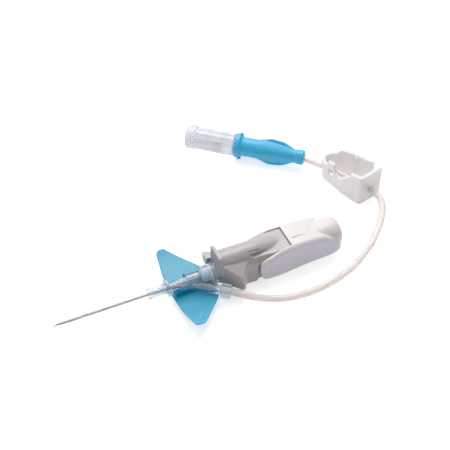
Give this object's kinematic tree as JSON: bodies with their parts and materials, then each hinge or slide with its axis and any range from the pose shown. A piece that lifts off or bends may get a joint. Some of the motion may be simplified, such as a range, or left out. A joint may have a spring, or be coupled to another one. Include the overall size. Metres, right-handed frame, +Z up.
{
  "type": "closed intravenous cannula set",
  "caption": "Intravenous cannula with wings and side port, shielded needle in a grip handle, extension tube, pinch clamp, luer hub and vent plug.",
  "frame": {"origin": "middle of the wing platform's flat underside, on the surface it rests on", "axes": "+X along the needle from its tip to the handle, +Y to the side away from the port, +Z up"},
  "size_m": [0.1091, 0.0768, 0.0132],
  "materials": {
    "needle_steel": "ground stainless tube",
    "spring_steel": "stamped spring steel",
    "wedge_steel": "drawn stainless sleeve",
    "hub_clear": "clear moulded plastic",
    "handle_white": "white satin moulding",
    "pad_lavender": "soft grip with fine raised dots",
    "shield_grey": "grey satin moulding",
    "inner_white": "plain white moulding",
    "catheter_clear": "thin translucent polyurethane",
    "adapter_clear": "water-clear moulding",
    "septum_rubber": "pale elastomer",
    "wing_blue": "translucent light blue flexible moulding",
    "tube_clear": "clear flexible tube",
    "clamp_white": "milky white moulding",
    "hub_blue": "light blue moulding",
    "plug_frosted": "milky translucent moulding",
    "filter_white": "sintered disc"
  },
  "bodies": {
    "adapter": {"catheter_tube": "catheter_clear", "catheter_wedge": "wedge_steel", "catheter_adapter": "adapter_clear", "septum": "septum_rubber", "septum_washer": "inner_white", "wing_platform": "wing_blue", "extension_tube": "tube_clear", "luer_hub": "hub_blue"},
    "shield": {"shield_grip": "shield_grey", "shield_canister": "inner_white", "shield_clip": "spring_steel", "shield_retainer": "spring_steel", "shield_end_cap": "inner_white"},
    "handle": {"handle_shell": "handle_white", "side_pad_near": "pad_lavender", "side_pad_far": "pad_lavender", "needle": "needle_steel", "needle_carrier": "hub_clear"},
    "pinch_clamp": {"pinch_clamp": "clamp_white"},
    "vent_plug": {"vent_plug": "plug_frosted", "vent_filter": "filter_white"}
  },
  "joints": [
    {"name": "shield_slide", "type": "slide", "parent": "adapter", "child": "shield", "axis": [1, 0, 0], "range_m": [0, 0.0016]},
    {"name": "handle_slide", "type": "slide", "parent": "shield", "child": "handle", "axis": [1, 0, 0], "range_m": [0, 0.0064]},
    {"name": "clamp_slide", "type": "slide", "parent": "adapter", "child": "pinch_clamp", "axis": [-0.4818, 0.8763, 0], "range_m": [0, 0.003]},
    {"name": "plug_pull", "type": "slide", "parent": "adapter", "child": "vent_plug", "axis": [-0.7581, 0.6521, 0], "range_m": [0, 0.012]}
  ]
}
